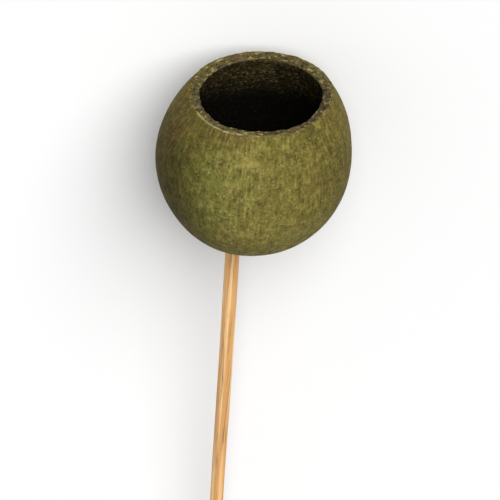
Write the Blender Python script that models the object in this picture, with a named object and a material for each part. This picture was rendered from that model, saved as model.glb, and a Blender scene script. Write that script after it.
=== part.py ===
"""A bell cup pod on its stick: a dried, woody, hollow seed cup, cut open at its mouth, bored at its
other end and pushed onto a length of split wood.

It lies down as a picked stem does. The cup rests on a small flat spot at its side and the stick's far
end rests on the same surface, Z = 0. The mouth faces -Y and the stick runs towards +Y. Metres, +Z up.
Both pieces are modelled along a shared axis, local +Z out of the mouth, with the cup's widest place at
local Z = 0, and hang under one empty that lays this axis down.
"""

import math

import bmesh
import bpy
from mathutils import Matrix, Vector

# The cup, an egg-like form whose two halves are half ellipsoids
CUP_RADIUS = 0.0245
CUP_RISE = 0.0275  # semi-axis of the half towards the mouth
CUP_DROP = 0.0252  # semi-axis of the half towards the stick
WALL = 0.00215
OVAL, OVAL_TURN = 0.011, 0.5  # out of round, two lobes, and where they point
TRIAD, TRIAD_TURN = 0.007, 1.9  # three lobes
DRIFT = 0.0017  # how far off the axis, towards -X, the form's middle is at the mouth
STEM_SIDE = 0.0038  # how far off the axis, towards +X, it is at the stick's hole
SHOULDER, SHOULDER_TURN = 0.0017, 5.25  # how much fuller the outside is at one side of the mouth, and where
HOLLOW, HOLLOW_TURN = 0.0011, 4.6  # the same of the inside

# The cut mouth
MOUTH_HEIGHT = 0.0193  # above the widest place
MOUTH_SLANT, SLANT_TURN = 0.083, 3.51  # rise of the cut for each metre across it, and towards where
RIM_WAVE, RIM_WAVES = 0.00012, 5
RIM_ROUND = 0.0003  # its two edges are worn round by this much

# The bored hole, a funnel that narrows inwards
HOLE_RADIUS = 0.0022
HOLE_FLARE = 0.0009  # how much wider it is outside

# The stick
STICK_RADIUS = 0.00168
STICK_REACH = 0.300  # from the cup's widest place to the stick's far end
STICK_INSIDE = 0.006  # length that stands inside the cup
STICK_SWAY = 0.0090  # how far towards -X it has gone from the hole to its far end
STICK_BOW = 0.0016  # sideways
STICK_SAG = 0.0007  # towards the surface
STICK_SQUARE = 0.05  # how far its section is from round
END_SLANT = 0.0004

# How it lies
FLAT_DEPTH = 0.0004  # what the flat spot takes off the cup's side
END_SINK = 0.0002  # what the surface takes off the stick's far end

# Facets
CUP_SIDES = 48
OUTER_STEPS, INNER_STEPS = (8, 6), (7, 5)  # below and above the widest place
STICK_SIDES, STICK_STEPS = 10, 44

CUP_COLOUR = (0.165, 0.145, 0.045, 1.0)
STICK_COLOUR = (0.62, 0.42, 0.22, 1.0)


def lying_tilt():
    """How far the axis rises towards the mouth when the cup and the stick's far end both touch down."""
    drop = CUP_RADIUS - FLAT_DEPTH - STICK_RADIUS + END_SINK
    return math.asin(drop / STICK_REACH)


def swell(turn):
    """How much wider than round the cup is on this side, as a share."""
    oval = OVAL * math.cos(2 * (turn - OVAL_TURN))
    triad = TRIAD * math.cos(3 * (turn - TRIAD_TURN))
    return oval + triad


def mouth_height(turn, inset):
    """Height of the slanted, slightly wavy cut where it meets the wall's outside, or an inset from it."""
    radius = (CUP_RADIUS - inset) * math.sqrt(1 - (MOUTH_HEIGHT / (CUP_RISE - inset)) ** 2)
    slant = MOUTH_SLANT * radius * math.cos(turn - SLANT_TURN)
    return MOUTH_HEIGHT + slant + RIM_WAVE * math.sin(RIM_WAVES * turn)


def middle(height, core):
    """How far off the axis the middle of the wall's outside (core 0) or inside (core 1) is at this height."""
    up = max(height, 0) / MOUTH_HEIGHT
    down = max(-height, 0) / (CUP_DROP - core * WALL)
    return STEM_SIDE * down**8 - DRIFT * up**2


def fuller(turn, height, size, towards):
    """How much fuller the wall is towards one side of the mouth."""
    side = ((1 + math.cos(turn - towards)) / 2) ** 3
    return size * side * (max(height, 0) / MOUTH_HEIGHT) ** 2


def wall_point(angle, inset, turn):
    """(radius, height) on the cup's outside, or inset from it, at an angle above the widest place."""
    semi = (CUP_RISE if angle > 0 else CUP_DROP) - inset
    radius = (CUP_RADIUS - inset) * math.cos(angle)
    return radius * (1 + swell(turn) * math.cos(angle) ** 2), semi * math.sin(angle)


def wall_run(inset, low_radius, top, turn, steps):
    """The wall's outline on this side, from the hole up to the height top."""
    below, above = steps
    start = -math.acos(low_radius / (CUP_RADIUS - inset))
    end = math.asin(top / (CUP_RISE - inset))
    angles = [start * (1 - n / below) for n in range(below)]
    angles += [end * n / above for n in range(above + 1)]
    return [wall_point(angle, inset, turn) for angle in angles]


def wall_place(radius, height, turn, core):
    """A point of the wall's outside (core 0) or inside (core 1)."""
    size, towards = (HOLLOW, HOLLOW_TURN) if core else (SHOULDER, SHOULDER_TURN)
    radius += fuller(turn, height, size, towards)
    return radius * math.cos(turn) + middle(height, core), radius * math.sin(turn), height


def cup_outline(turn):
    """The closed outline of the cup's wall on one side: outside, rim, inside, hole."""
    outer_top, inner_top = mouth_height(turn, 0), mouth_height(turn, WALL)
    outside = wall_run(0, HOLE_RADIUS + HOLE_FLARE, outer_top - RIM_ROUND, turn, OUTER_STEPS)
    inside = wall_run(WALL, HOLE_RADIUS, inner_top - RIM_ROUND, turn, INNER_STEPS)
    outside.append((outside[-1][0] - RIM_ROUND, outer_top))
    inside.append((inside[-1][0] + RIM_ROUND, inner_top))
    outer = [wall_place(radius, height, turn, 0) for radius, height in outside]
    inner = [wall_place(radius, height, turn, 1) for radius, height in inside]
    return outer + inner[::-1]


def new_object(name, bm, colour, roughness, parent):
    """The finished mesh as an object with a material of its own."""
    bmesh.ops.recalc_face_normals(bm, faces=bm.faces)
    mesh = bpy.data.meshes.new(name)
    bm.to_mesh(mesh)
    bm.free()
    mesh.shade_smooth()
    mesh.set_sharp_from_angle(angle=math.radians(35))
    thing = bpy.data.objects.new(name, mesh)
    thing.parent = parent
    bpy.context.scene.collection.objects.link(thing)
    material = bpy.data.materials.new(name)
    material.use_nodes = True
    shader = material.node_tree.nodes["Principled BSDF"]
    shader.inputs["Base Color"].default_value = colour
    shader.inputs["Roughness"].default_value = roughness
    shader.inputs["Metallic"].default_value = 0.0
    mesh.materials.append(material)
    return thing


def rings_to_mesh(rings, closed):
    """Quads between neighbouring rings of points. The last ring joins the first, or both ends are capped."""
    bm = bmesh.new()
    rows = [[bm.verts.new(point) for point in ring] for ring in rings]
    pairs = list(zip(rows, rows[1:]))
    if closed:
        pairs.append((rows[-1], rows[0]))
    for lower, upper in pairs:
        for n in range(len(lower)):
            after = (n + 1) % len(lower)
            bm.faces.new((lower[n], lower[after], upper[after], upper[n]))
    if not closed:
        bm.faces.new(rows[0])
        bm.faces.new(rows[-1])
    return bm


def cup_mesh():
    """The cup's wall, its outline taken round the axis."""
    turns = [math.tau * n / CUP_SIDES for n in range(CUP_SIDES)]
    outlines = [cup_outline(turn) for turn in turns]
    return rings_to_mesh(list(zip(*outlines)), closed=True)


def stick_centre(share):
    """The stick's middle line, at a share of its length from the cup."""
    top = -(CUP_DROP - WALL - STICK_INSIDE)
    height = top + share * (-STICK_REACH - top)
    bow = STICK_BOW * math.sin(math.pi * share) * math.sin(math.tau * 0.6 * share)
    sag = STICK_SAG * math.sin(math.pi * share) ** 2
    return Vector((STEM_SIDE - STICK_SWAY * share + bow, -sag, height))


def stick_radius(share, turn):
    """Its radius on one side: squarish and drawn out a little, as split wood is."""
    square = STICK_SQUARE * math.cos(4 * turn + 2.2 * share)
    flat = 0.04 * math.cos(2 * turn + 0.8)
    along = 0.04 * math.sin(9.0 * share + 0.5)
    return STICK_RADIUS * (1 + square + flat + along)


def stick_mesh():
    """The stick, ring after ring, with its far end cut at a slant."""
    rings = []
    for step in range(STICK_STEPS + 1):
        share = step / STICK_STEPS
        centre = stick_centre(share)
        ring = []
        for n in range(STICK_SIDES):
            turn = math.tau * n / STICK_SIDES
            reach = stick_radius(share, turn)
            slant = END_SLANT * math.cos(turn) if step == STICK_STEPS else 0.0
            side = Vector((reach * math.cos(turn), reach * math.sin(turn), slant))
            ring.append(centre + side)
        rings.append(ring)
    return rings_to_mesh(rings, closed=False)


def cut_flat(bm, to_world, height):
    """Takes off what lies below a level of the world, and closes the cut with one flat face."""
    to_local = to_world.inverted()
    point = to_local @ Vector((0, 0, height))
    normal = to_local.to_3x3() @ Vector((0, 0, 1))
    everything = bm.verts[:] + bm.edges[:] + bm.faces[:]
    cut = bmesh.ops.bisect_plane(
        bm, geom=everything, dist=1e-6, plane_co=point, plane_no=normal, clear_inner=True
    )
    edges = [part for part in cut["geom_cut"] if isinstance(part, bmesh.types.BMEdge)]
    bmesh.ops.edgeloop_fill(bm, edges=edges)


def world_box(meshes, to_world):
    """The lowest and highest corners of the meshes once they are laid down."""
    points = [to_world @ vert.co for bm in meshes for vert in bm.verts]
    low = Vector([min(point[axis] for point in points) for axis in range(3)])
    high = Vector([max(point[axis] for point in points) for axis in range(3)])
    return low, high


def build():
    for old in list(bpy.data.objects):
        bpy.data.objects.remove(old, do_unlink=True)
    laid = Matrix.Rotation(math.pi / 2 - lying_tilt(), 4, "X")
    cup = cup_mesh()
    stick = stick_mesh()
    floor = world_box([cup], laid)[0].z + FLAT_DEPTH
    cut_flat(cup, laid, floor)
    cut_flat(stick, laid, floor)
    low, high = world_box([cup, stick], laid)
    middle = (low + high) / 2
    axis = bpy.data.objects.new("stem_axis", None)
    axis.matrix_world = Matrix.Translation((-middle.x, -middle.y, -floor)) @ laid
    bpy.context.scene.collection.objects.link(axis)
    new_object("pod_cup", cup, CUP_COLOUR, 0.85, axis)
    new_object("stick", stick, STICK_COLOUR, 0.7, axis)


build()
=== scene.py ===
import math
import random

import bpy
import numpy as np
from mathutils import Matrix, Vector, noise


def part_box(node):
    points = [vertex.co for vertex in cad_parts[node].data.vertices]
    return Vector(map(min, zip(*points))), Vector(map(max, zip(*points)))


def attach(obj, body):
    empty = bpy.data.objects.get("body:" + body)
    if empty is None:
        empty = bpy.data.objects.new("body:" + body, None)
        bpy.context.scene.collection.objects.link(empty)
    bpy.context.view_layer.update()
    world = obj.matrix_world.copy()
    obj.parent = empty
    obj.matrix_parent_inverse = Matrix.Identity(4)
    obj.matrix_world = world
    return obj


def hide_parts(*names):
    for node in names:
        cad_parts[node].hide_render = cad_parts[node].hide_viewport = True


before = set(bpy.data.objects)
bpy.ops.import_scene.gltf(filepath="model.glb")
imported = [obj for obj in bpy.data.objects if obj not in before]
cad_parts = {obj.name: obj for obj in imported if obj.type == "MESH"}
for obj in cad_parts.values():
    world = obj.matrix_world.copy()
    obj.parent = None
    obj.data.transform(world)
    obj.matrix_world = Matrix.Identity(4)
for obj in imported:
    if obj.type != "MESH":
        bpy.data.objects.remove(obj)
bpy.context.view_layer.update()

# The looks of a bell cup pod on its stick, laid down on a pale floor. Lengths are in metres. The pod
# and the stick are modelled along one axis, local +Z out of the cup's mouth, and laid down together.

CUP_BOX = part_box("pod_cup")

# The cup's form, as in the solids
CUP_RADIUS = 0.0245
CUP_RISE = 0.0275
CUP_DROP = 0.0252
WALL = 0.00215
OVAL, OVAL_TURN = 0.011, 0.5
TRIAD, TRIAD_TURN = 0.007, 1.9
DRIFT = 0.0017
STEM_SIDE = 0.0038
SHOULDER, SHOULDER_TURN = 0.0017, 5.25
HOLLOW, HOLLOW_TURN = 0.0011, 4.6
MOUTH_HEIGHT = 0.0193
MOUTH_SLANT, SLANT_TURN = 0.083, 3.51
RIM_WAVE, RIM_WAVES = 0.00012, 5

# Where the cup's form differs from the solids
OUTER_ROUND, INNER_ROUND = 0.0007, 0.0004  # the rim's edges are worn rounder
HOLE_RADIUS = 0.0017  # tighter, so that the pod grips the stick
HOLE_FLARE = 0.0005
LIP_SWELL, LIP_TURN = 0.0007, 3.65  # how much thicker the wall is inside one side of the mouth, and where
LIP_DEPTH = 0.0018  # how far below the inner edge it is thickest

# The stick's form, as in the solids but squarer
STICK_RADIUS = 0.00168
STICK_REACH = 0.300
STICK_INSIDE = 0.006
STICK_SWAY = 0.0090
STICK_BOW, BOW_WAVES = 0.0016, 0.6
STICK_SAG = 0.0007
STICK_TWIST = 0.55  # how far its section turns from end to end
SQUARE_POWER, SQUARE_SIZE = 3.4, 0.926  # how squarish the section is, and its size against a round one's
STICK_FLAT, FLAT_TURN = 0.04, 0.8  # how much wider it is one way than the other, and where
STICK_SWELL, SWELL_RATE, SWELL_START = 0.04, 9.0, 0.5  # how it grows thicker and thinner along its length
END_ROUND, END_SIZE = 0.0005, 0.95  # how near its ends it narrows, as a share of its length, and to what

# How it lies
FLAT_DEPTH = 0.0004  # what the cup's flat spot takes off it
END_SINK = 0.0002  # the same under the stick's far end
TILT = math.asin((CUP_RADIUS - FLAT_DEPTH - STICK_RADIUS + END_SINK) / STICK_REACH)
LAID = np.array(Matrix.Rotation(math.pi / 2 - TILT, 3, "X"))
FLOOR_GAP = 0.00001  # the least height of any point

# How fine the meshes are
CUP_SIDES, OUTER_STEPS, RIM_STEPS, INNER_STEPS, HOLE_STEPS = 384, 144, 20, 60, 8
STICK_SIDES, STICK_STEPS = 40, 640

# Rings of the cup, counted from the hole up its outside, over the rim and down its inside
RIM_START, RIM_END = OUTER_STEPS, OUTER_STEPS + RIM_STEPS
OUTER_EDGE, RIM_MIDDLE, INNER_EDGE = RIM_START + 5, RIM_START + RIM_STEPS // 2, RIM_END - 1
DYE_END = RIM_START + 6  # how far the dye reaches over the cut

# Layers of noise: the size of each layer's lumps, its seed and its strength
UNEVEN = ((0.011, 1, 0.5), (0.0045, 2, 0.22))
GRAIN = ((0.0013, 3, 0.5), (0.0007, 4, 0.3))
CHIPS = ((0.0021, 7, 1.0), (0.0009, 8, 0.8))
RIDGES = ((0.0012, 5, 0.6), (0.0005, 6, 0.4))
DYE_STRAY = ((0.0018, 9, 4.0),)  # in rings

# The relief, as depths below the plain form
SKIN_DENTS, SKIN_GRAIN = 0.00014, 0.000035
PIT_SEED, PIT_COUNT = 11, 90
PIT_SIZES, PIT_DEPTHS = (0.0004, 0.0009), (0.00004, 0.00014)
PIT_HEIGHTS = (-0.95, 0.68)  # as shares of the cup's radius
RIM_SINK, RIM_GRAIN, RIM_CHIPS = 0.00010, 0.00016, 0.00012
NIBBLE, NIBBLE_WIDTH, OUTER_NIBBLE = 0.00040, 0.0006, 0.22  # at the inner edge, and the outer one's share
BITE_GAIN, BITE_BASE, BITE_MOST = 1.4, 0.2, 1.4  # how the chips' noise becomes bites
LINING_SINK, LINING_GRAIN = 0.00006, 0.00012
WOOD_SINK, WOOD_RIDGES = 0.00006, 0.00010
WOOD_DRAWN = 0.04  # the ridges' width as a share of their length

# The camera, at the photograph's angle onto the mouth
CAMERA_RISE = math.radians(57.8)
CAMERA_LEAN = math.radians(5.0)
CAMERA_DISTANCE = 1.0
VIEW_WIDTH = 0.125
SENSOR = 0.036
CUP_IN_VIEW = (0.0010, 0.0232)

# The lights: name, strength, apparent width in degrees, way towards each
SUNS = (
    ("key", 3.7, 50, (-0.32, -0.72, 0.95)),
    ("fill", 0.8, 120, (0.50, -0.30, 1.00)),
)
FADE_START, FADE_END = 0.05, 0.20  # between which heights the surround darkens, where 1 is straight up
HORIZON_LIGHT, SKY_LIGHT = 0.95, 0.15

# The floor
FLOOR_REACH = 12.0
FLOOR_COLOUR = (0.78, 0.78, 0.78, 1)

# Places on the pod: a way from its middle, how near to it the place begins and is in full, from -1 to 1,
# and its strength. The camera looks from about (0, 0.8, 0.6), with -X at the picture's right.
GREEN_PLACE = ((0.56, 0.80, 0.12), 0.75, 1.0, 0.7)
BROWN_PLACES = (
    ((0.85, 0.15, 0.50), 0.2, 0.95, 0.12),
    ((-0.18, 0.93, 0.30), 0.965, 1.0, 0.05),
    ((-0.95, 0.25, 0.20), 0.8, 1.0, 0.08),
)
YELLOW_PLACE = ((-0.72, 0.15, 0.68), 0.90, 1.0, 0.16)
FLECKED_PLACE = ((-0.66, 0.38, 0.65), 0.88, 0.99, 0.55)
OLIVE_RIM = ((0.25, -0.62, 0.74), 0.80, 0.97, 0.2)
# painted shade on one side of the cut rim
PAINTED_SHADE_RIM = ((-0.64, 0.24, 0.73), 0.92, 1.0, 1)
RIM_SCAR = ((0.23, -0.62, 0.75), 0.9955, 0.9995, 0.8)
# painted light: a lit strip on the inner wall below the mouth's far side
PAINTED_LIGHT_LINING = ((-0.60, -0.30, 0.74), 0.70, 0.97, 0.9)
WORN_PLACES = {
    "outer_edge": ((0.38, 0.56, 0.74), 0.92, 0.985, 0.13),
    "inner_edge": ((-0.35, -0.57, 0.75), 0.80, 0.97, 0.05),
}
WEAR_WIDTH = 0.0005

# Painted shade on the skin: the side it is painted lit on and the painted shade away from it, and places
# with painted shade of their own
PAINTED_LIT_SIDE, PAINTED_SIDE_SHADE = (-0.15, 0.95, -0.02), (0.52, 0.49, 0.41, 1)
PAINTED_SHADE_PLACES = (
    # painted shade, with a painted shadow, on the skin's +X side, at the picture's left
    (((0.95, 0.25, -0.25), 0.5, 1.0, 1), (0.52, 0.50, 0.50, 1)),
    (((-0.60, 0.75, 0.20), 0.75, 1.0, 1), (0.85, 0.83, 0.80, 1)),
    (((-0.08, 0.97, 0.20), 0.93, 0.99, 1), (0.88, 0.88, 0.87, 1)),
)


def swell(turn):
    """How much wider than round the cup is on this side, as a share."""
    oval = OVAL * np.cos(2 * (turn - OVAL_TURN))
    return oval + TRIAD * np.cos(3 * (turn - TRIAD_TURN))


def mouth_height(turn, inset):
    """Height of the slanted, slightly wavy cut where it meets the wall's outside, or an inset from it."""
    radius = (CUP_RADIUS - inset) * math.sqrt(1 - (MOUTH_HEIGHT / (CUP_RISE - inset)) ** 2)
    slant = MOUTH_SLANT * radius * np.cos(turn - SLANT_TURN)
    return MOUTH_HEIGHT + slant + RIM_WAVE * np.sin(RIM_WAVES * turn)


def middle(height, core):
    """How far off the axis the wall's outside (core 0) or inside (core 1) has its middle at a height."""
    up = np.maximum(height, 0) / MOUTH_HEIGHT
    down = np.maximum(-height, 0) / (CUP_DROP - core * WALL)
    return STEM_SIDE * down**8 - DRIFT * up**2


def fuller(turn, height, size, towards):
    """How much fuller the wall is towards one side of the mouth."""
    side = ((1 + np.cos(turn - towards)) / 2) ** 3
    return size * side * (np.maximum(height, 0) / MOUTH_HEIGHT) ** 2


def wall_run(inset, low_radius, top, turn, steps):
    """(radius, height) of the wall on each side, from the hole up to the height top."""
    start = -math.acos(low_radius / (CUP_RADIUS - inset))
    end = np.arcsin(top / (CUP_RISE - inset))
    share = np.linspace(0, 1, steps)[:, None]
    angle = start + share * (end - start)[None, :]
    semi = np.where(angle > 0, CUP_RISE, CUP_DROP) - inset
    width = (CUP_RADIUS - inset) * np.cos(angle)
    return width * (1 + swell(turn) * np.cos(angle) ** 2), semi * np.sin(angle)


def rim_run(outer, inner, outer_top, inner_top):
    """(radius, height) of the cut between the two walls, with both of its edges worn round."""
    share = ((np.arange(RIM_STEPS) + 1) / (RIM_STEPS + 1))[:, None]
    radius = outer + share * (inner - outer)
    top = outer_top + share * (inner_top - outer_top)
    for away, wear in ((outer - radius, OUTER_ROUND), (radius - inner, INNER_ROUND)):
        bite = np.clip(1 - away / wear, 0, 1)
        top = top - wear * (1 - np.sqrt(1 - bite**2))
    return radius, top


def noise_at(points, size, seed):
    """Smooth noise of about -1 to 1 at each point, with lumps of the given size."""
    shift = Vector((seed * 7.31, seed * 3.17, seed * 5.53))
    flat = points.reshape(-1, 3) / size
    values = [noise.noise(Vector(point) + shift) for point in flat]
    return np.array(values).reshape(points.shape[:-1])


def layered(points, layers):
    """Layers of noise at each point, added up."""
    return sum(strength * noise_at(points, size, seed) for size, seed, strength in layers)


def ring_normals(points, closed):
    """Unit normals of rings of points round the axis, outward where the rings go up it."""
    if closed:
        along = np.roll(points, -1, 0) - np.roll(points, 1, 0)
    else:
        along = np.gradient(points, axis=0)
    around = np.roll(points, -1, 1) - np.roll(points, 1, 1)
    normals = np.cross(around, along)
    return normals / np.maximum(np.linalg.norm(normals, axis=2, keepdims=True), 1e-12)


def grid_object(name, points, own, closed):
    """A mesh of quads over rings of points. The last ring joins the first, or a face closes each end.

    Each vertex also keeps its place along the shared axis, before it was laid down, for the materials.
    """
    rings, sides = points.shape[:2]
    rows = rings if closed else rings - 1
    faces = []
    for row in range(rows):
        low = row * sides
        high = ((row + 1) % rings) * sides
        for n in range(sides):
            after = (n + 1) % sides
            faces.append((low + n, low + after, high + after, high + n))
    if not closed:
        faces.append(tuple(reversed(range(sides))))
        faces.append(tuple(range((rings - 1) * sides, rings * sides)))
    mesh = bpy.data.meshes.new(name)
    mesh.from_pydata(points.reshape(-1, 3).tolist(), [], faces)
    mesh.update()
    mesh.shade_smooth()
    layer = mesh.attributes.new("own", "FLOAT_VECTOR", "POINT")
    layer.data.foreach_set("vector", own.ravel().astype(np.float32))
    thing = bpy.data.objects.new(name, mesh)
    bpy.context.scene.collection.objects.link(thing)
    return thing


def keep_values(thing, name, values):
    """Keeps one number for each vertex, for a material to read."""
    layer = thing.data.attributes.new(name, "FLOAT", "POINT")
    layer.data.foreach_set("value", np.ravel(values).astype(np.float32))


def cup_points():
    """The cup's surface as rings of points, with its outward normals."""
    turn = np.linspace(0, math.tau, CUP_SIDES, endpoint=False)
    outer_top, inner_top = mouth_height(turn, 0), mouth_height(turn, WALL)
    out_r, out_z = wall_run(0, HOLE_RADIUS + HOLE_FLARE, outer_top - OUTER_ROUND, turn, OUTER_STEPS)
    in_r, in_z = wall_run(WALL, HOLE_RADIUS, inner_top - INNER_ROUND, turn, INNER_STEPS)
    out_r = out_r + fuller(turn, out_z, SHOULDER, SHOULDER_TURN)
    in_r = in_r + fuller(turn, in_z, HOLLOW, HOLLOW_TURN)
    rim_r, rim_z = rim_run(out_r[-1], in_r[-1], outer_top, inner_top)
    share = (np.arange(HOLE_STEPS) + 1)[:, None] / (HOLE_STEPS + 1)
    hole_r = in_r[0] + share * (out_r[0] - in_r[0])
    hole_z = in_z[0] + share * (out_z[0] - in_z[0])
    radius = np.concatenate([out_r, rim_r, in_r[::-1], hole_r])
    height = np.concatenate([out_z, rim_z, in_z[::-1], hole_z])
    over_rim = np.linspace(0, 1, RIM_STEPS)
    core = np.concatenate([np.zeros(OUTER_STEPS), over_rim, np.ones(INNER_STEPS), 1 - share[:, 0]])
    core = core[:, None]
    x, y = radius * np.cos(turn) + middle(height, core), radius * np.sin(turn)
    points = np.stack([x, y, height], axis=2)
    return points, ring_normals(points, closed=True)


def place_on_solid(points):
    """How far points that were only laid down have to move to stand where the cup's solid does."""
    places = (points @ LAID.T).reshape(-1, 3)
    low, high = np.array(CUP_BOX[0]), np.array(CUP_BOX[1])
    shift = (low + high - places.min(0) - places.max(0)) / 2
    shift[2] = high[2] - places.max(0)[2]
    return shift


def lay_down(points, shift):
    """The points once the shared axis is laid down, with none of them below the floor."""
    places = points @ LAID.T + shift
    places[..., 2] = np.maximum(places[..., 2], FLOOR_GAP)
    return places


def pits(points):
    """Depth of small round dents scattered over the cup."""
    rng = random.Random(PIT_SEED)
    depth = np.zeros(points.shape[:2])
    for _ in range(PIT_COUNT):
        height = rng.uniform(*PIT_HEIGHTS)
        turn = rng.uniform(0, math.tau)
        side = math.sqrt(1 - height**2)
        centre = np.array((side * math.cos(turn), side * math.sin(turn), height)) * CUP_RADIUS
        away = np.linalg.norm(points - centre, axis=2) / rng.uniform(*PIT_SIZES)
        depth += rng.uniform(*PIT_DEPTHS) * np.exp(-(away**2))
    return depth


def ways_to(points, rings):
    """How far each point lies from each of these rings, over the surface."""
    steps = np.linalg.norm(np.diff(points, axis=0, prepend=points[:1]), axis=2)
    travelled = np.cumsum(steps, axis=0)
    return [np.abs(travelled - travelled[ring]) for ring in rings]


def lip_swelling(inner_edge):
    """How much thicker the wall is inside one side of the mouth."""
    turn = np.linspace(0, math.tau, CUP_SIDES, endpoint=False)
    side = ((1 + np.cos(turn - LIP_TURN)) / 2) ** 4
    below = inner_edge / LIP_DEPTH
    return LIP_SWELL * side * below * np.exp(1 - below)


def cup_relief(points, order, outer_edge, inner_edge):
    """How far the dented, pitted skin, the rough rim and the grained inside lie below the plain form."""
    outside = order < RIM_START
    rim = (order >= RIM_START) & (order < RIM_END)
    lining = (order >= RIM_END) & (order < RIM_END + INNER_STEPS)
    uneven, grain, chips = (layered(points, layers) for layers in (UNEVEN, GRAIN, CHIPS))
    drop = outside * (SKIN_DENTS * (1 - uneven) + SKIN_GRAIN * grain + pits(points))
    drop += lining * (LINING_SINK * (1 + uneven) + LINING_GRAIN * grain - lip_swelling(inner_edge))
    drop += rim * (RIM_SINK + RIM_GRAIN * grain + RIM_CHIPS * chips)
    near_inner, near_outer = (np.exp(-((edge / NIBBLE_WIDTH) ** 2)) for edge in (inner_edge, outer_edge))
    bites = np.clip(chips * BITE_GAIN + BITE_BASE, 0, BITE_MOST)
    return drop + NIBBLE * bites * (near_inner + OUTER_NIBBLE * near_outer)


def make_cup(points, normals, shift):
    """The pod itself: its skin, cut rim and inside, each with its material."""
    order = np.arange(len(points))[:, None]
    lip, outer_edge, inner_edge = ways_to(points, (RIM_MIDDLE, OUTER_EDGE, INNER_EDGE))
    drop = cup_relief(points, order, outer_edge, inner_edge)
    places = lay_down(points - normals * drop[..., None], shift)
    thing = grid_object("pod_shell", places, points, closed=True)
    keep_values(thing, "lip", lip)
    keep_values(thing, "outer_edge", outer_edge)
    keep_values(thing, "inner_edge", inner_edge)
    for material in (skin_material(), rim_material(), lining_material()):
        thing.data.materials.append(material)
    dyed = order < DYE_END + layered(points, DYE_STRAY)
    zone = np.where(dyed, 0, np.where(order < RIM_END, 1, 2))
    thing.data.polygons.foreach_set("material_index", zone.ravel().astype(np.int32))
    return thing


def stick_points():
    """The stick as rings of points round its middle line."""
    turn = np.linspace(0, math.tau, STICK_SIDES, endpoint=False)[None, :]
    share = np.linspace(0, 1, STICK_STEPS + 1)
    share = np.concatenate([[0, END_ROUND], share[1:-1], [1 - END_ROUND, 1]])[:, None]
    narrowed = np.ones_like(share)
    narrowed[[0, -1]] = END_SIZE
    top = -(CUP_DROP - WALL - STICK_INSIDE)
    height = top + share * (-STICK_REACH - top)
    bow = STICK_BOW * np.sin(math.pi * share) * np.sin(math.tau * BOW_WAVES * share)
    sag = STICK_SAG * np.sin(math.pi * share) ** 2
    corner = turn + STICK_TWIST * share + math.pi / 4
    sides = np.abs(np.cos(corner)) ** SQUARE_POWER + np.abs(np.sin(corner)) ** SQUARE_POWER
    square = SQUARE_SIZE / sides ** (1 / SQUARE_POWER)
    flat = STICK_FLAT * np.cos(2 * turn + FLAT_TURN)
    along = STICK_SWELL * np.sin(SWELL_RATE * share + SWELL_START)
    reach = STICK_RADIUS * (square + flat + along) * narrowed
    x = STEM_SIDE - STICK_SWAY * share + bow + reach * np.cos(turn)
    y = -sag + reach * np.sin(turn)
    z = np.broadcast_to(height, x.shape)
    return np.stack([x, y, z], axis=2)


def make_stick(shift):
    """The split-wood stick, with ridges and grooves along its grain."""
    points = stick_points()
    normals = -ring_normals(points, closed=False)
    ridges = layered(points * np.array([1, 1, WOOD_DRAWN]), RIDGES)
    places = lay_down(points - normals * (WOOD_SINK + WOOD_RIDGES * ridges)[..., None], shift)
    thing = grid_object("stick_wood", places, points, closed=False)
    thing.data.materials.append(wood_material())
    return thing


def node(tree, kind, settings=None, **inputs):
    """A shader node with its settings, and each input given a value or a link."""
    new = tree.nodes.new("ShaderNode" + kind)
    for name, value in (settings or {}).items():
        setattr(new, name, value)
    for name, value in inputs.items():
        plug(tree, new.inputs[name.replace("_", " ")], value)
    return new


def plug(tree, socket, value):
    """Links a socket into another, or gives it a value."""
    if isinstance(value, bpy.types.NodeSocket):
        tree.links.new(value, socket)
    else:
        socket.default_value = value


def mix(tree, factor, first, second, how="MIX"):
    """One colour into another by a factor."""
    new = node(tree, "Mix", {"data_type": "RGBA", "blend_type": how})
    plug(tree, new.inputs[0], factor)
    plug(tree, new.inputs[6], first)
    plug(tree, new.inputs[7], second)
    return new.outputs[2]


def maths(tree, how, first, second):
    """A sum, product or other operation on two values."""
    new = node(tree, "Math", {"operation": how})
    plug(tree, new.inputs[0], first)
    plug(tree, new.inputs[1], second)
    return new.outputs["Value"]


def spread(tree, value, low, high, to_low=0.0, to_high=1.0):
    """A value from one range to another, held at its ends."""
    new = node(tree, "MapRange", {"interpolation_type": "SMOOTHSTEP"}, Value=value)
    for name, number in zip(("From Min", "From Max", "To Min", "To Max"), (low, high, to_low, to_high)):
        new.inputs[name].default_value = number
    return new.outputs["Result"]


def tint(tree, colour, other, value, low, high, most=1.0, within=None):
    """Another colour over this one where a value goes from low to high, by up to most, within a place."""
    factor = spread(tree, value, low, high, 0, most)
    if within is not None:
        factor = maths(tree, "MULTIPLY", within, factor)
    return mix(tree, factor, colour, other)


def own_place(tree):
    """Place along and round the shared axis."""
    return node(tree, "Attribute", {"attribute_name": "own"}).outputs["Vector"]


def speckle(tree, size, seed, detail=2.0, rough=0.5, where=None, stretch=(1, 1, 1)):
    """Noise with lumps of a size in metres."""
    moved = node(tree, "Mapping", Vector=where or own_place(tree), Scale=stretch)
    moved.inputs["Location"].default_value = (seed * 0.31, seed * 0.17, seed * 0.53)
    new = node(tree, "TexNoise", Vector=moved.outputs["Vector"], Scale=1 / size, Detail=detail)
    new.inputs["Roughness"].default_value = rough
    return new.outputs["Fac"]


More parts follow.
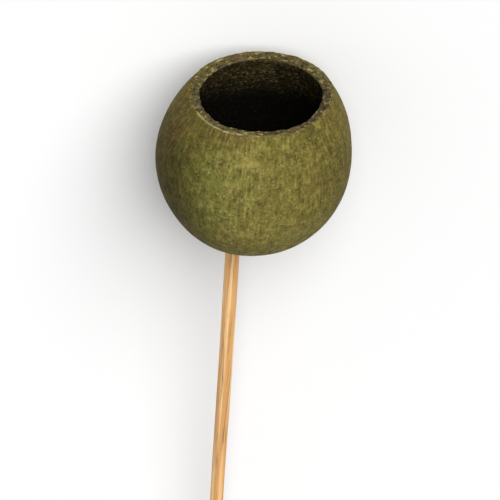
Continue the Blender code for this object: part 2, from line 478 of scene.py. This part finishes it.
def meridians(tree, pull):
    """Coordinates that change fast round the axis and slowly along it, for noise drawn out in streaks."""
    parts = node(tree, "SeparateXYZ", Vector=own_place(tree))
    across = node(tree, "CombineXYZ", X=parts.outputs["X"], Y=parts.outputs["Y"])
    way = node(tree, "VectorMath", {"operation": "NORMALIZE"}, Vector=across.outputs["Vector"])
    ring = node(tree, "VectorMath", {"operation": "SCALE"}, Vector=way.outputs["Vector"], Scale=CUP_RADIUS)
    along = node(tree, "CombineXYZ", Z=maths(tree, "MULTIPLY", parts.outputs["Z"], pull))
    both = node(tree, "VectorMath", {"operation": "ADD"}, Vector=ring.outputs["Vector"])
    tree.links.new(along.outputs["Vector"], both.inputs[1])
    return both.outputs["Vector"]


def facing(tree, way):
    """How far this side of the pod lies towards a way from its middle, from -1 to 1."""
    unit = node(tree, "VectorMath", {"operation": "NORMALIZE"}, Vector=own_place(tree))
    dot = node(tree, "VectorMath", {"operation": "DOT_PRODUCT"}, Vector=unit.outputs["Vector"])
    dot.inputs[1].default_value = Vector(way).normalized()
    return dot.outputs["Value"]


def patch(tree, place):
    """A soft-edged place on the pod, from 0 outside it to its strength."""
    way, low, high, most = place
    return spread(tree, facing(tree, way), low, high, 0, most)


def kept(tree, name):
    """A value kept for each vertex: how far it is from the cut rim's middle or from one of its edges."""
    return node(tree, "Attribute", {"attribute_name": name}).outputs["Fac"]


def principled(name, **sockets):
    """A new material, its tree and its shader, with constants on the shader's own sockets."""
    material = bpy.data.materials.new(name)
    material.use_nodes = True
    tree = material.node_tree
    shader = tree.nodes["Principled BSDF"]
    for socket, value in sockets.items():
        shader.inputs[socket.replace("_", " ")].default_value = value
    return material, tree, shader


def bump(tree, shader, height, distance, strength=1.0):
    """Fine relief on the shader."""
    new = node(tree, "Bump", Height=height, Distance=distance, Strength=strength)
    tree.links.new(new.outputs["Normal"], shader.inputs["Normal"])


def worn(tree, colour):
    """Pale wear in broken stretches, on the rim's outer edge at one side and its inner edge at another."""
    pale = (0.34, 0.285, 0.125, 1)
    scuffs = speckle(tree, size=0.0030, seed=12, detail=4, rough=0.7)
    for edge, place in WORN_PLACES.items():
        near = spread(tree, kept(tree, edge), WEAR_WIDTH, 0.0)
        broken = maths(tree, "ADD", scuffs, patch(tree, place))
        colour = tint(tree, colour, pale, broken, 0.50, 0.68, 0.9, within=near)
    return colour


def skin_material():
    """Matt, powdery olive dye, mottled and finely streaked, with painted shade making it darker and
    browner away from its painted lit side.
    """
    material, tree, shader = principled(
        "pod_skin",
        Specular_IOR_Level=0.08,
        Sheen_Weight=0.06,
        Sheen_Roughness=0.4,
        Sheen_Tint=(0.85, 0.72, 0.35, 1.0),
    )
    olive, yellow = (0.178, 0.148, 0.036, 1), (0.370, 0.315, 0.088, 1)
    green, greenest = (0.148, 0.142, 0.031, 1), (0.140, 0.150, 0.032, 1)
    brown, dark = (0.145, 0.098, 0.036, 1), (0.030, 0.024, 0.007, 1)
    broad = speckle(tree, size=0.007, seed=1, detail=3)
    cloud = speckle(tree, size=0.006, seed=2, detail=4, rough=0.6)
    mottle = speckle(tree, size=0.0019, seed=3, detail=4, rough=0.65)
    streak = speckle(tree, size=0.0007, seed=4, detail=3, rough=0.6, where=meridians(tree, pull=0.2))
    fine = speckle(tree, size=0.00065, seed=5, detail=3, rough=0.6)
    colour = tint(tree, olive, green, broad, 0.40, 0.64, 0.6)
    colour = mix(tree, patch(tree, GREEN_PLACE), colour, greenest)
    browner = spread(tree, kept(tree, "lip"), 0.0085, 0.0015, 0, 0.09)
    for place in BROWN_PLACES:
        browner = maths(tree, "ADD", browner, patch(tree, place))
    browner = maths(tree, "ADD", cloud, browner)
    colour = tint(tree, colour, brown, browner, 0.56, 0.80, 0.75)
    colour = tint(tree, colour, yellow, mottle, 0.50, 0.72, 0.55)
    colour = tint(tree, colour, dark, mottle, 0.51, 0.28, 0.48)
    colour = mix(tree, patch(tree, YELLOW_PLACE), colour, yellow)
    flecked = patch(tree, FLECKED_PLACE)
    colour = tint(tree, colour, yellow, mottle, 0.53, 0.62, within=flecked)
    colour = tint(tree, colour, dark, mottle, 0.50, 0.38, 0.35, within=flecked)
    colour = tint(tree, colour, yellow, streak, 0.52, 0.74, 0.6)
    colour = tint(tree, colour, dark, streak, 0.47, 0.26, 0.55)
    colour = tint(tree, colour, yellow, fine, 0.54, 0.74, 0.85)
    colour = tint(tree, colour, dark, fine, 0.47, 0.22, 0.75)
    # painted shade: darker and browner away from the painted lit side, its edge broken by the cloud noise
    side = maths(tree, "ADD", facing(tree, PAINTED_LIT_SIDE), maths(tree, "MULTIPLY", cloud, 0.25))
    colour = mix(tree, spread(tree, side, 1.2, 0.5), colour, PAINTED_SIDE_SHADE, "MULTIPLY")
    # painted shade in further places on the sides and front, with a painted shadow on the +X side
    for place, painted_shade in PAINTED_SHADE_PLACES:
        colour = mix(tree, patch(tree, place), colour, painted_shade, "MULTIPLY")
    colour = worn(tree, colour)
    tree.links.new(colour, shader.inputs["Base Color"])
    tree.links.new(spread(tree, mottle, 0.3, 0.7, 0.95, 0.8), shader.inputs["Roughness"])
    bump(tree, shader, fine, 0.00025, 0.8)
    return material


def rim_material():
    """The cut edge: woody, olive-brown and rough, with pale places where it is worn and painted shade on
    one side.
    """
    material, tree, shader = principled("pod_rim", Specular_IOR_Level=0.1, Roughness=0.9)
    olive, grey, painted_shade = (0.088, 0.073, 0.023, 1), (0.082, 0.060, 0.026, 1), (0.76, 0.73, 0.80, 1)
    pale, dark, scar = (0.33, 0.270, 0.100, 1), (0.018, 0.013, 0.005, 1), (0.120, 0.076, 0.044, 1)
    cloud = speckle(tree, size=0.006, seed=6)
    blotch = speckle(tree, size=0.0013, seed=13, detail=4, rough=0.7)
    fine = speckle(tree, size=0.0006, seed=7)
    greyer = maths(tree, "SUBTRACT", cloud, patch(tree, OLIVE_RIM))
    colour = tint(tree, olive, grey, greyer, 0.36, 0.52)
    colour = tint(tree, colour, pale, blotch, 0.54, 0.66, 0.85)
    colour = tint(tree, colour, dark, blotch, 0.50, 0.35, 0.9)
    # painted shade on one side of the rim
    colour = mix(tree, patch(tree, PAINTED_SHADE_RIM), colour, painted_shade, "MULTIPLY")
    colour = mix(tree, patch(tree, RIM_SCAR), colour, scar)
    colour = worn(tree, colour)
    colour = tint(tree, colour, dark, fine, 0.50, 0.34, 0.7)
    tree.links.new(colour, shader.inputs["Base Color"])
    bump(tree, shader, fine, 0.00025)
    return material


def lining_material():
    """The inside: grained olive-brown by the mouth, with painted shade making it nearly black further in,
    a painted lit strip on one side, brown at its bottom.
    """
    material, tree, shader = principled("pod_lining", Specular_IOR_Level=0.05, Roughness=0.95)
    painted_shade_black, brown = (0.0022, 0.0017, 0.0009, 1), (0.048, 0.036, 0.014, 1)
    painted_light_colour, speck = (0.120, 0.100, 0.040, 1), (0.33, 0.265, 0.095, 1)
    blotch = speckle(tree, size=0.002, seed=8, detail=4, rough=0.65)
    rings = speckle(tree, size=0.0012, seed=14, detail=3, rough=0.6, stretch=(0.16, 0.16, 3.0))
    fine = speckle(tree, size=0.0007, seed=9, detail=3, rough=0.7, stretch=(0.9, 0.9, 1.1))
    # painted shade: lighter by the mouth and nearly black deeper in, with the specks kept to the lighter
    # part
    painted_light_by_mouth = spread(tree, kept(tree, "lip"), 0.021, 0.0005)
    colour = tint(tree, painted_shade_black, brown, blotch, 0.30, 0.60, within=painted_light_by_mouth)
    # painted light: a lit olive strip just below the inner edge on one side
    painted_light_place = patch(tree, PAINTED_LIGHT_LINING)
    colour = tint(tree, colour, painted_light_colour, kept(tree, "inner_edge"), 0.0024, 0.0002, within=painted_light_place)
    height = node(tree, "SeparateXYZ", Vector=own_place(tree)).outputs["Z"]
    patchy = spread(tree, blotch, 0.30, 0.60, 0.4, 1)
    colour = tint(tree, colour, brown, height, -0.0085, -0.0175, 0.9, within=patchy)
    specks_painted_light = maths(tree, "MAXIMUM", painted_light_by_mouth, 0.02)
    colour = tint(tree, colour, speck, rings, 0.52, 0.70, 0.3, within=specks_painted_light)
    colour = tint(tree, colour, speck, fine, 0.53, 0.68, within=specks_painted_light)
    tree.links.new(colour, shader.inputs["Base Color"])
    bump(tree, shader, fine, 0.0004)
    return material


def wood_material():
    """Split wood, light tan, with its grain lengthwise and brown lines along its splits."""
    material, tree, shader = principled("stick_grain", Specular_IOR_Level=0.3, Roughness=0.62)
    pale, tan, brown = (0.84, 0.54, 0.25, 1), (0.60, 0.31, 0.11, 1), (0.22, 0.11, 0.04, 1)
    broad = speckle(tree, size=0.0014, seed=10, stretch=(1, 1, 0.02))
    fine = speckle(tree, size=0.0004, seed=11, detail=4, rough=0.7, stretch=(1, 1, 0.03))
    colour = tint(tree, tan, pale, broad, 0.40, 0.60)
    colour = tint(tree, colour, brown, fine, 0.50, 0.30, 0.8)
    tree.links.new(colour, shader.inputs["Base Color"])
    bump(tree, shader, fine, 0.0002, 0.8)
    return material


def make_floor():
    """A wide plain floor."""
    corners = [(x * FLOOR_REACH, y * FLOOR_REACH, 0) for x, y in ((-1, -1), (1, -1), (1, 1), (-1, 1))]
    mesh = bpy.data.meshes.new("floor")
    mesh.from_pydata(corners, [], [(0, 1, 2, 3)])
    floor = bpy.data.objects.new("floor", mesh)
    bpy.context.scene.collection.objects.link(floor)
    material = principled("floor_paper", Base_Color=FLOOR_COLOUR, Specular_IOR_Level=0.1, Roughness=0.9)[0]
    mesh.materials.append(material)


def make_light():
    """Soft light from the camera's side, and a surround that is as pale as the floor at the horizon."""
    world = bpy.data.worlds.new("surround")
    bpy.context.scene.world = world
    world.use_nodes = True
    tree = world.node_tree
    way = node(tree, "TexCoord").outputs["Generated"]
    rise = node(tree, "SeparateXYZ", Vector=way).outputs["Z"]
    glow = spread(tree, rise, FADE_START, FADE_END, HORIZON_LIGHT, SKY_LIGHT)
    background = tree.nodes["Background"]
    background.inputs["Color"].default_value = (1, 1, 1, 1)
    tree.links.new(glow, background.inputs["Strength"])
    for name, strength, width, towards in SUNS:
        sun = bpy.data.lights.new(name, "SUN")
        sun.energy = strength
        sun.angle = math.radians(width)
        lamp = bpy.data.objects.new(name, sun)
        bpy.context.scene.collection.objects.link(lamp)
        lamp.rotation_euler = Vector(towards).to_track_quat("Z", "Y").to_euler()


def make_camera(cup_centre):
    """Looks down on the cup at the photograph's angle, with its mouth at the top of the picture."""
    back = Vector((0, -math.cos(CAMERA_RISE), math.sin(CAMERA_RISE)))
    up = Vector((0, -math.sin(CAMERA_RISE), -math.cos(CAMERA_RISE)))
    up = Matrix.Rotation(CAMERA_LEAN, 3, back) @ up
    right = up.cross(back)
    target = cup_centre - right * CUP_IN_VIEW[0] - up * CUP_IN_VIEW[1]
    data = bpy.data.cameras.new("camera")
    data.sensor_width = SENSOR * 1000
    data.lens = SENSOR * 1000 * CAMERA_DISTANCE / VIEW_WIDTH
    data.clip_end = 100
    camera = bpy.data.objects.new("camera", data)
    bpy.context.scene.collection.objects.link(camera)
    turn = Matrix((right, up, back)).transposed().to_4x4()
    camera.matrix_world = Matrix.Translation(target + back * CAMERA_DISTANCE) @ turn
    bpy.context.scene.camera = camera


def build():
    bpy.context.scene.view_settings.view_transform = "Standard"
    points, normals = cup_points()
    shift = place_on_solid(points)
    cup = make_cup(points, normals, shift)
    stick = make_stick(shift)
    for piece, cad, slot in ((cup, "pod_cup", "dyed_pod"), (stick, "stick", "split_wood")):
        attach(piece, "root")
        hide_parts(cad)
    make_floor()
    make_light()
    make_camera(Vector(shift))


build()
